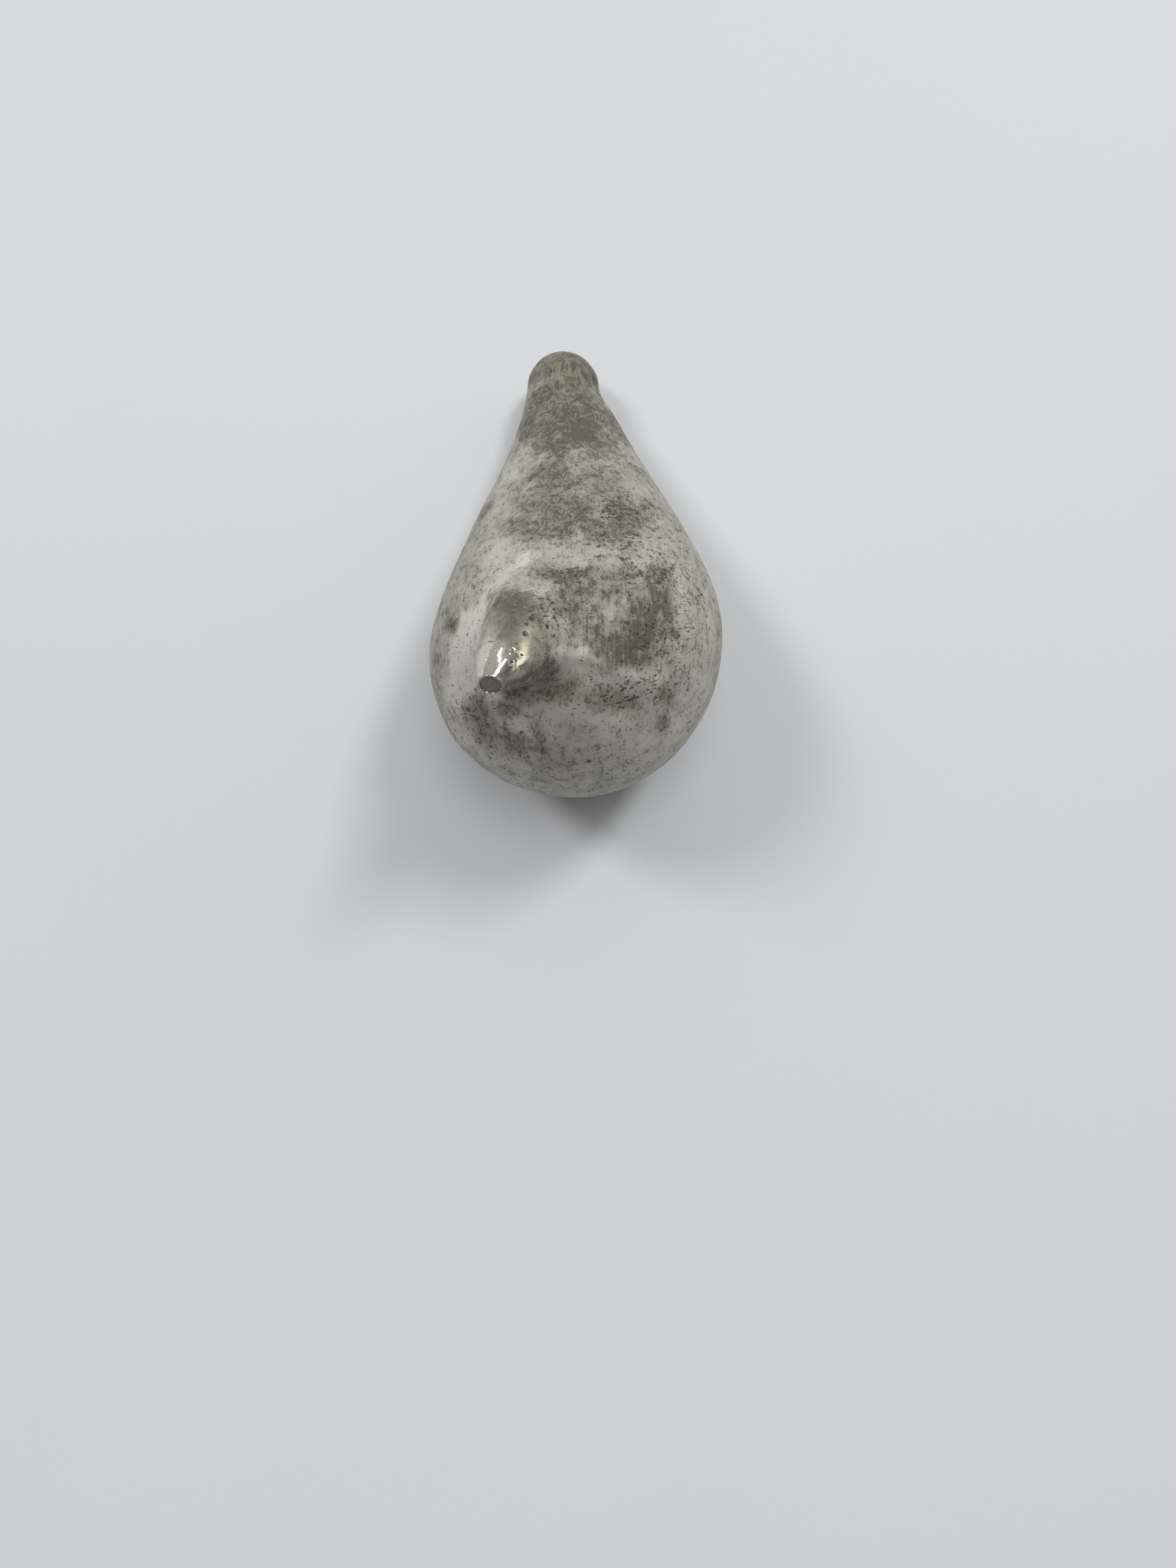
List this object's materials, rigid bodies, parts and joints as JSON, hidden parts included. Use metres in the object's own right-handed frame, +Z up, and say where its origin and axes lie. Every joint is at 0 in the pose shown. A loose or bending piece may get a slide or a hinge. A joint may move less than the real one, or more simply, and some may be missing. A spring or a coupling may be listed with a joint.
{
  "type": "beaked teardrop casting",
  "caption": "Small solid metal teardrop lying on a narrow ground flat, with one blunt beak rising from its fat end and a dark pin let into the beak's end.",
  "frame": {"origin": "on the ground flat, under the middle of the fat end", "axes": "+Z up off the flat, +Y along the casting towards its small tail, +X to the right when the tail points away"},
  "size_m": [0.0381, 0.063, 0.0464],
  "materials": {
    "cast_white_metal": "satin, tarnished",
    "dark_pin": "matt"
  },
  "bodies": {
    "root": {"cast_body": "cast_white_metal", "beak_pin": "dark_pin"}
  },
  "joints": []
}
